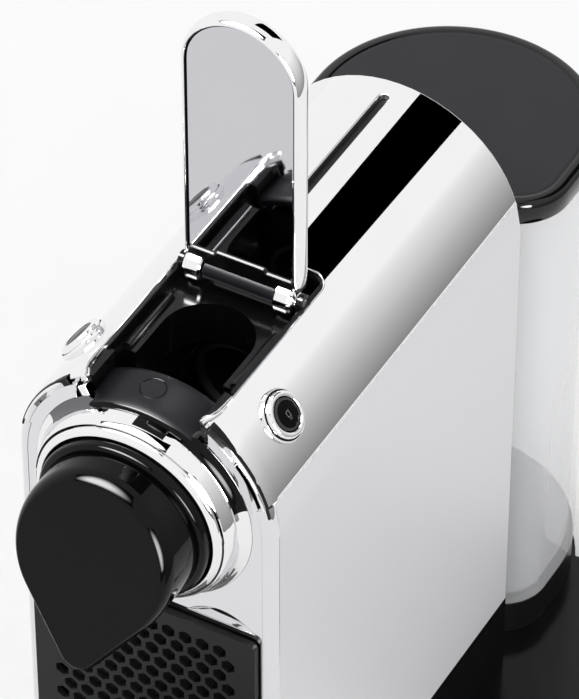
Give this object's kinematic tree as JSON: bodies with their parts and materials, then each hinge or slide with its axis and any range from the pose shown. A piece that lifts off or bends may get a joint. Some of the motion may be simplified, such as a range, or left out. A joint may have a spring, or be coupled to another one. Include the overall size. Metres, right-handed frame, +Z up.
{
  "type": "pod coffee machine",
  "caption": "Arched chrome pod coffee machine with a lift-up lever over the capsule bay, a round nozzle head, a folding cup support, a pull-out drawer and a lift-off water tank.",
  "frame": {"origin": "on the table, under the middle of the chrome body, at the centre of the middle rubber foot strip", "axes": "+Z up, -Y towards the nozzle (the front), +X to the right side, where the side platform is"},
  "size_m": [0.233, 0.372, 0.393],
  "materials": {
    "chrome": "mirror polished",
    "panel": "polished, flat",
    "black_gloss": "high gloss",
    "black_satin": "satin moulded",
    "grey_satin": "satin moulded",
    "lid": "satin top, glossy rim",
    "clear": "clear",
    "rubber": "matt",
    "steel": "machined",
    "aluminium": "cast",
    "pump_metal": "painted",
    "board": "solder mask",
    "hose": "silicone",
    "white_plastic": "moulded"
  },
  "bodies": {
    "housing": {"base_plate": "black_gloss", "feet": "rubber", "plinth": "black_gloss", "side_panel_left": "panel", "side_panel_right": "panel", "top_shell": "chrome", "front_fascia": "chrome", "rear_cover": "black_satin", "cover_screws": "steel", "chassis": "black_satin", "bay_liner": "black_satin", "front_saddle": "grey_satin", "slot_insert": "black_satin", "neck_sleeve": "chrome", "neck_ring": "chrome", "nozzle_seal": "rubber", "nozzle_head": "black_gloss", "coffee_spout": "black_satin", "button_bezels": "chrome", "button_board": "board", "brew_frame": "black_satin", "pierce_plate": "steel", "brew_gasket": "rubber", "pump": "pump_metal", "pump_mounts": "rubber", "thermoblock": "aluminium", "flow_meter": "white_plastic", "circuit_board": "board", "suction_hose": "hose", "pressure_hose": "hose", "dock_base": "black_gloss", "dock_seal": "rubber", "cord_gland": "black_satin", "lever_pin": "steel"},
    "lever": {"lever_frame": "chrome", "lever_mirror": "chrome", "lever_roller": "grey_satin"},
    "brew_carriage": {"brew_cage": "black_satin", "cage_gasket": "rubber"},
    "button_left": {"button_left": "black_gloss"},
    "button_right": {"button_right": "black_gloss"},
    "tank": {"tank_shell": "clear"},
    "tank_lid": {"tank_lid": "lid"},
    "tank_valve": {"tank_valve": "white_plastic", "valve_spring": "steel"},
    "drawer": {"drip_tray": "black_satin", "capsule_container": "black_satin", "support_pin": "steel"},
    "drip_grid": {"drip_grid": "black_satin"},
    "cup_support": {"cup_support": "black_satin"}
  },
  "joints": [
    {"name": "lever_hinge", "type": "hinge", "parent": "housing", "child": "lever", "pos_m": [0, -0.0302, 0.2765], "axis": [1, 0, 0], "range_deg": [0, 90]},
    {"name": "carriage_slide", "type": "slide", "parent": "housing", "child": "brew_carriage", "axis": [0, -1, 0], "range_m": [0, 0.026]},
    {"name": "button_left_press", "type": "slide", "parent": "housing", "child": "button_left", "axis": [0.766, 0, -0.6428], "range_m": [0, 0.0012], "stiffness_N_per_m": 500, "springref_m": -0.0005},
    {"name": "button_right_press", "type": "slide", "parent": "housing", "child": "button_right", "axis": [-0.766, 0, -0.6428], "range_m": [0, 0.0012], "stiffness_N_per_m": 500, "springref_m": -0.0005},
    {"name": "tank_lift", "type": "slide", "parent": "housing", "child": "tank", "axis": [0, 0, 1], "range_m": [0, 0.38]},
    {"name": "lid_lift", "type": "slide", "parent": "tank", "child": "tank_lid", "axis": [0, 0, 1], "range_m": [0, 0.18]},
    {"name": "valve_lift", "type": "slide", "parent": "tank", "child": "tank_valve", "axis": [0, 0, 1], "range_m": [0, 0.003], "stiffness_N_per_m": 200, "springref_m": -0.001, "deforming": ["valve_spring"]},
    {"name": "drawer_slide", "type": "slide", "parent": "housing", "child": "drawer", "axis": [0, -1, 0], "range_m": [0, 0.17]},
    {"name": "grid_lift", "type": "slide", "parent": "drawer", "child": "drip_grid", "axis": [0, -0.6, 0.8], "range_m": [0, 0.3]},
    {"name": "support_fold", "type": "hinge", "parent": "drawer", "child": "cup_support", "pos_m": [0, -0.1038, 0.09], "axis": [1, 0, 0], "range_deg": [0, 90]}
  ],
  "couplings": [
    {"joint": "carriage_slide", "follows": "lever_hinge", "m_per_rad": 0.016552}
  ]
}
